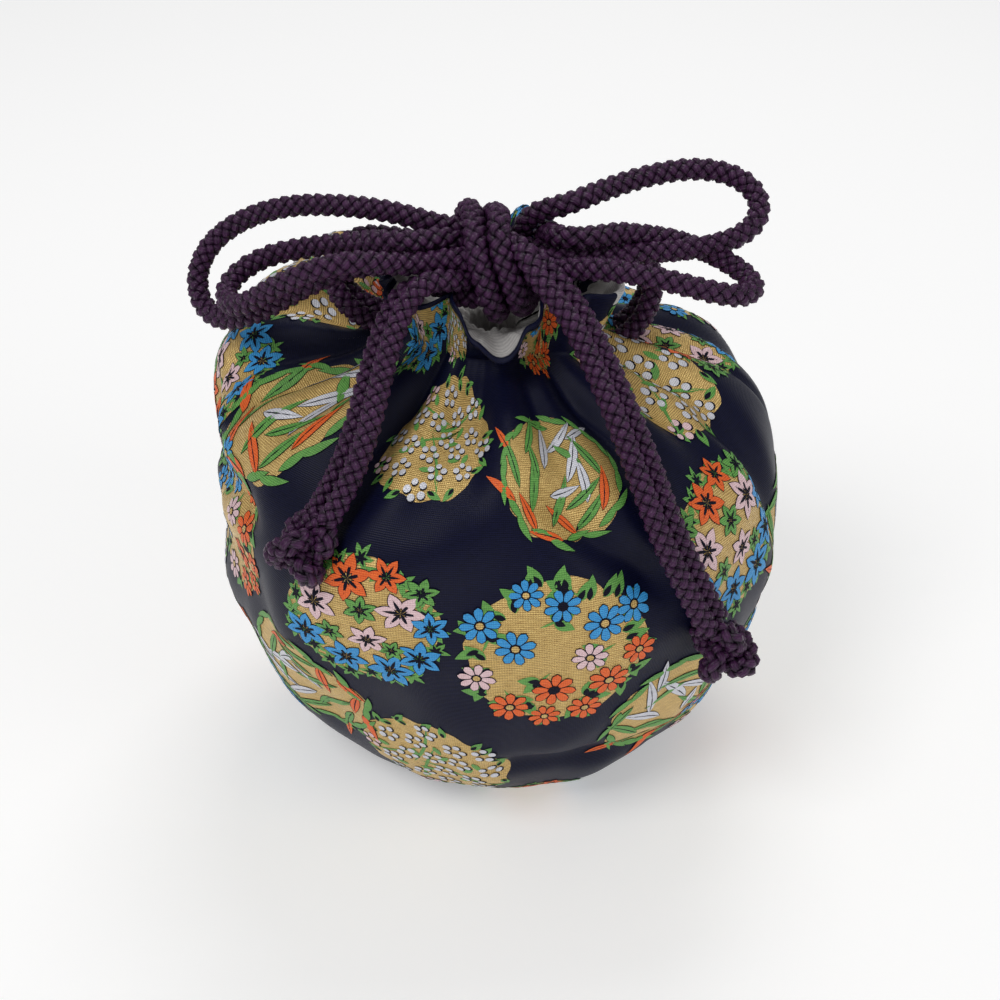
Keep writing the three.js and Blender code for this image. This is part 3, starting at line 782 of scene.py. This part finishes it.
def filled(shape, ink):
    """A shape with a dark line round it."""
    return [(grown(shape, 0.2), "outline", 3), (shape, ink, 4)]


def petals(count, size, wide, peak, x, y, turn, ink):
    """Petals set round a middle, each with a dark line round it."""
    shapes = []
    for k in range(count):
        a = turn + TURN * k / count
        petal = leaf(0.84 * size, wide * size, 0.0, 8, peak)
        shapes += filled(moved(petal, x + 0.16 * size * math.cos(a), y + 0.16 * size * math.sin(a), a), ink)
    return shapes


def sprig(x, y, turn, size):
    """Three line-drawn leaves on a short stalk."""
    shapes = [(moved(leaf(size, 0.5, n=4), x, y, turn), "green", 1)]
    for side in (-0.9, 0.0, 0.9):
        c, s = math.cos(turn), math.sin(turn)
        shapes += line_leaf(leaf(0.9 * size, 0.5 * size), x + 0.6 * size * c, y + 0.6 * size * s, turn + side)
    return shapes


def maple_roundel():
    """Six-lobed maple leaves of several colours over gold, with line-drawn green ones round the edge."""
    shapes = []
    for k in range(20):
        a = TURN * k / 20
        d = 14.4 + 0.9 * math.sin(4.1 * k)
        shapes += line_leaf(maple(3.0), d * math.cos(a), d * math.sin(a), 2.3 * k)
    for x, y, size, turn, ink in (
        (-12, -4.0, 4.4, 0.3, "blue"), (-4.5, -9.5, 4.4, 0.8, "blue"), (4.5, -11.5, 4.8, 0.1, "blue"),
        (11, -7, 4.4, 0.4, "blue"), (13.5, 1.0, 3.8, 0.6, "blue"), (-8.5, 4.6, 4.4, 0.5, "pink"),
        (1.0, -3.0, 3.8, 0.2, "pink"), (8.0, 4.6, 4.6, 0.9, "pink"), (-2.0, 11, 4.6, 0.4, "orange"),
        (5.5, 12.6, 3.6, 0.0, "orange"), (-10.5, 11, 3.6, 0.2, "green"), (0.5, 4.6, 3.2, 0.4, "green"),
        (-6.5, -2.5, 2.8, 0.7, "green"), (12, 9.5, 3.4, 0.2, "green"), (5.5, -5.5, 2.6, 0.1, "green"),
    ):
        shapes += petals(6, 1.06 * size, 0.5, 0.8, x, y, turn, ink)
        for k in range(6):
            vein = leaf(0.74 * size, 0.15 * size, n=5)
            shapes.append((moved(vein, x, y, turn + TURN * k / 6), "outline", 5))
    return shapes


def daisy_roundel():
    """Eight-petalled flowers, blue above and orange below, with line-drawn green leaves among them."""
    shapes = []
    for k in range(40):
        a = TURN * k / 40
        d = 13.0 + 1.5 * math.sin(5.3 * k)
        turn = a + 0.9 * math.sin(3.1 * k)
        shapes += line_leaf(leaf(4.6, 2.1), d * math.cos(a), d * math.sin(a), turn)
    for x, y, turn in (
        (-3, 6.5, 0.4), (4, 12, 2.6), (-9, -7, 5.2), (3, -12, 0.6), (10, 1.5, 3.6), (-1, -3.5, 3.9),
        (-12.5, 1.5, 1.2),
    ):
        shapes += sprig(x, y, turn, 4.4)
    for x, y, size, ink in (
        (-12.8, 7, 3.5, "blue"), (-7, 2.5, 3.5, "blue"), (1, 10.5, 3.2, "blue"), (8, 6, 3.6, "blue"),
        (13.6, 8, 3.3, "blue"), (-5, 12.8, 2.9, "blue"), (-13.6, -4.5, 3.3, "pink"), (5.5, -0.8, 3.1, "pink"),
        (-8, -11.5, 3.5, "orange"), (-0.5, -8, 3.8, "orange"), (9, -7, 3.7, "orange"),
        (14.2, -1.0, 3.1, "orange"), (5.0, -13.6, 3.1, "orange"), (-2, -14.8, 2.8, "orange"),
    ):
        shapes += petals(8, size, 0.42, 1.7, x, y, 0.3 * x, ink)
        shapes.append((moved(disc(0.3 * size, 8), x, y), "outline", 5))
        shapes.append((moved(disc(0.2 * size, 8), x, y), "gold", 6))
    return shapes


def plum_roundel():
    """Small round buds in bunches of five over gold, on thin branches, with green sprigs round the edge."""
    shapes = []
    for x, y, turn, long, bend in (
        (-13, -7, 0.7, 22, -0.2), (3, -15, 1.6, 17, 0.3), (-4, 2, 0.2, 17, 0.25), (-10, 9, -0.5, 13, 0.2),
    ):
        shapes.append((moved(leaf(long, 0.6, bend), x, y, turn), "green", 1))
    for k in range(22):
        a = TURN * k / 22 + 0.2 * math.sin(7 * k)
        d = 13.8 + 1.0 * math.sin(3.3 * k)
        shapes += line_leaf(leaf(3.6, 1.6), d * math.cos(a), d * math.sin(a), a + 1.1 * math.sin(2.7 * k))
    for k in range(10):
        a = TURN * k * 0.618
        d = 3.4 * math.sqrt(k + 0.6)
        shapes.append((moved(leaf(3.4, 1.4), d * math.cos(a), d * math.sin(a), 2.1 * k), "green", 2))
    for k in range(18):
        a = TURN * k * 0.618 + 0.5
        d = 3.5 * math.sqrt(k + 0.4)
        for j in range(5):
            b = TURN * j / 5 + 1.3 * k
            x, y = d * math.cos(a) + 1.7 * math.cos(b), d * math.sin(a) + 1.7 * math.sin(b)
            bud = moved(disc(0.76 + 0.07 * math.sin(k + 2 * j), 9), x, y)
            # The bud's dark disc is grown and moved down and aside: a dark line round the bud and a painted
            # shadow below it.
            shapes.append((grown(bud, 0.12) + [0.1, -0.22], "outline", 3))
            shapes.append((bud, "pink" if d > 13 and k % 2 else "silver", 4))
    return shapes


def bamboo_roundel():
    """Long slender leaves in green, orange and silver over gold, some lying along the edge."""
    shapes = []
    for k in range(22):
        a = -3.6 + 0.29 * k
        turn = a + 1.5 + 0.25 * math.sin(2.9 * k)
        shapes += filled(moved(leaf(6.4, 1.5, 0.12), 14.9 * math.cos(a), 14.9 * math.sin(a), turn), "green")
    for x, y, deg, long, wide, ink in (
        (-11, -4, 104, 13, 2.0, "green"), (-8, -9, 80, 14, 2.2, "green"), (-3, -12, 62, 13, 2.1, "green"),
        (-9, 4, 66, 12, 2.1, "green"), (3, -13, 44, 11, 2.0, "green"), (11, -2, 108, 13, 2.0, "green"),
        (-6, -2, 96, 10, 1.8, "green"), (1, -8, 28, 11, 1.9, "green"), (7, 2, 130, 10, 1.8, "green"),
        (-4, 1, 76, 13, 2.5, "silver"), (2, -2, 58, 14, 2.5, "silver"), (-2, 6, 30, 13, 2.3, "silver"),
        (6, -7, 84, 11, 2.3, "silver"), (5, 9, 12, 9, 2.0, "silver"), (-3, -5, 8, 8, 2.0, "silver"),
        (-12, -7, 140, 9, 2.0, "orange"), (3, -14, 130, 10, 2.1, "orange"), (9, -9, 70, 10, 2.1, "orange"),
        (-13, 3, 118, 9, 1.9, "orange"), (-1, -15, 160, 8, 1.9, "orange"), (-7, -13, 112, 9, 1.9, "orange"),
        (1, 13, 170, 9, 1.8, "green"),
    ):
        turn = math.radians(deg)
        shapes += filled(moved(leaf(long, wide, 0.1), x, y, turn), ink)
        shapes.append((moved(leaf(0.9 * long, 0.26, 0.1, 6), x, y, turn), "outline", 5))
    return shapes


KINDS = {"maple": maple_roundel, "daisy": daisy_roundel, "plum": plum_roundel, "bamboo": bamboo_roundel}
# Each roundel: its angle and height along the cloth, its size, its kind and turn.
ROUNDELS = [
    (210, 137, 1.25, "bamboo", 0.2), (254, 142, 1.0, "plum", 0.1), (286, 133, 0.92, "bamboo", -0.1),
    (336, 148, 1.3, "plum", 0.4), (321, 108, 1.0, "maple", 0.3), (247, 101, 0.94, "maple", 0.0),
    (281.5, 95, 1.12, "daisy", 0.0), (310, 70, 1.0, "bamboo", 1.2), (254, 58, 1.0, "plum", 0.8),
    (226, 75, 1.0, "bamboo", 2.2), (203, 103, 1.0, "daisy", 1.0), (352, 92, 1.0, "bamboo", 0.4),
    (337, 60, 0.9, "daisy", 0.5), (176, 86, 1.0, "plum", 0.2), (197, 62, 0.9, "maple", 0.3),
    (283, 34, 0.7, "maple", 0.3), (248, 172, 0.75, "plum", 0.9), (296, 170, 0.8, "daisy", 0.3),
    (226, 168, 0.85, "maple", 0.3), (6, 142, 0.95, "maple", 1.4), (42, 130, 1.0, "daisy", 0.2),
    (88, 128, 1.0, "bamboo", 0.3), (125, 130, 1.0, "maple", 0.8), (158, 139, 1.05, "plum", 0.2),
    (182, 121, 0.85, "maple", 2.6), (28, 95, 1.0, "plum", 0.2), (64, 96, 1.0, "maple", 0.6),
    (100, 94, 1.0, "daisy", 0.1), (138, 95, 1.0, "bamboo", 0.4), (14, 62, 0.9, "bamboo", 0.4),
    (50, 62, 0.9, "daisy", 0.9), (86, 62, 0.9, "plum", 0.1), (122, 62, 0.9, "maple", 0.2),
    (158, 62, 0.9, "daisy", 0.7), (70, 32, 0.65, "bamboo", 0.7), (140, 32, 0.65, "plum", 0.7),
    (72, 168, 0.9, "maple", 1.9), (112, 168, 0.9, "plum", 0.2), (25, 166, 0.9, "bamboo", 0.2),
    (152, 164, 0.9, "daisy", 0.2),
]


def face_and_normal(phi, s):
    """The cloth's outer face, and its normal from the differences a small step to each side."""
    step = 0.15
    here = cloth(phi, s)
    across = cloth(phi + step / ROUND, s) - cloth(phi - step / ROUND, s)
    up = cloth(phi, s + step) - cloth(phi, s - step)
    return here, unit(np.cross(across, up))


def stamp(centre, height, shapes):
    """Lays flat shapes on the cloth about the point at that angle and height along it. Each shape is
    (outline, ink, how far its rim and its middle stand off the cloth, rings)."""
    flats = [fan(x[0], x[4]) for x in shapes]
    p = np.vstack([f[0] for f in flats])
    sizes = [len(f[0]) for f in flats]
    starts = np.r_[0, np.cumsum(sizes)[:-1]]
    tris = np.vstack([f[1] + a for f, a in zip(flats, starts)])
    kinds = np.concatenate([np.full(len(f[1]), INKS.index(x[1])) for f, x in zip(flats, shapes)])
    off = np.concatenate([x[2] + (x[3] - x[2]) * (1 - f[2] ** 2) for f, x in zip(flats, shapes)])
    s = np.clip(height + p[:, 1], 0.5, None)
    r = np.interp(np.minimum(s, GATHER), FAR, FINE[:, 0])
    phi = math.radians(centre) + p[:, 0] / np.where(s > 95, 60, np.maximum(r, 24))
    _, long, foot, _ = ruffle(phi)
    top = foot + long - np.where(turned_out(phi), STRIP_CLEAR, RIM_CLEAR)
    here, normal = face_and_normal(phi, np.minimum(s, top))
    on = (s < top)[tris].any(1)
    raised = here + normal * off[:, None]
    raised[:, 2] = np.maximum(raised[:, 2], 0.0)
    return raised, tris[on], kinds[on], np.stack([phi * ROUND, s], -1)


ROUNDEL_R = 15.4
# How far each level of a roundel stands off the cloth.
LEVELS = (0.05, 0.1, 0.14, 0.13, 0.17, 0.22, 0.25)


def motif_mesh(name, chosen):
    """The chosen roundels as one mesh: a gold disc under each, and its shapes over it by level."""
    points, tris, kinds, uvs = [], [], [], []
    start = 0
    for centre, height, size, kind, turn in chosen:
        shapes = [(disc(ROUNDEL_R * size, 90, 0.03), "gold", 0.05, 0.06, 14)]
        for i, (outline, ink, level) in enumerate(KINDS[kind]()):
            low = LEVELS[level] + 0.006 * (i % 7)
            rings = 1 if np.ptp(outline, axis=0).max() < 4.2 else 2
            crown = low + (0.06 if level == 4 else 0.01)
            shapes.append((moved(outline * size, 0, 0, turn), ink, low, crown, rings))
        p, t, k, u = stamp(centre, height, shapes)
        points.append(p)
        tris.append(t + start)
        kinds.append(k)
        uvs.append(u)
        start += len(p)
    inks = [THREADS[i] for i in INKS]
    return add_mesh(name, np.vstack(points), np.vstack(tris), inks, np.concatenate(kinds), np.vstack(uvs))


front_motifs = motif_mesh("front_woven_roundels", [m for m in ROUNDELS if 180 <= m[0] < 360])
back_motifs = motif_mesh("back_woven_roundels", [m for m in ROUNDELS if m[0] < 180])
for obj in (front_motifs, back_motifs):
    dress(obj, "brocade")


# Floor, light and camera
def floor_material():
    """A pale ground that glows a little."""
    m, _, shader = node_material("pale_floor")
    shader.inputs["Base Color"].default_value = (0.8, 0.8, 0.8, 1)
    shader.inputs["Roughness"].default_value = 0.9
    shader.inputs["Specular IOR Level"].default_value = 0.0
    shader.inputs["Emission Color"].default_value = (1, 1, 1, 1)
    shader.inputs["Emission Strength"].default_value = 0.33
    return m


GROUND = np.array([(-3, -3, 0), (3, -3, 0), (3, 3, 0), (-3, 3, 0)]) * 1000.0 - [0, 0, 0.05]
floor = add_mesh("floor", GROUND, [(0, 1, 2, 3)], [floor_material()])

world = bpy.data.worlds.new("studio")
bpy.context.scene.world = world
world.use_nodes = True
back = world.node_tree.nodes["Background"]
back.inputs["Color"].default_value = (1, 1, 1, 1)
back.inputs["Strength"].default_value = 0.3


def area_light(name, place, aim, size, power):
    """A round lamp at its place, turned towards its aim."""
    data = bpy.data.lights.new(name, "AREA")
    data.shape = "DISK"
    data.size = size
    data.energy = power
    obj = bpy.data.objects.new(name, data)
    bpy.context.scene.collection.objects.link(obj)
    obj.location = place
    obj.rotation_euler = (Vector(aim) - Vector(place)).to_track_quat("-Z", "Y").to_euler()


area_light("key", (-0.45, -0.55, 0.95), (0, 0, 0.06), 0.5, 4.5)
area_light("fill", (0.8, -0.5, 0.5), (0, 0, 0.06), 0.6, 1.6)
area_light("top", (0.1, 0.5, 0.9), (0, 0, 0.08), 0.5, 2.6)

cam = bpy.data.cameras.new("camera")
cam.lens = 63
cam.sensor_width = 36
cam.clip_start = 0.01
eye = bpy.data.objects.new("camera", cam)
bpy.context.scene.collection.objects.link(eye)
eye.location = (0.0015, -0.30796, 0.25831)
eye.rotation_euler = (math.radians(90 - 33.6), 0, 0)
bpy.context.scene.camera = eye
bpy.context.scene.view_settings.view_transform = "Standard"
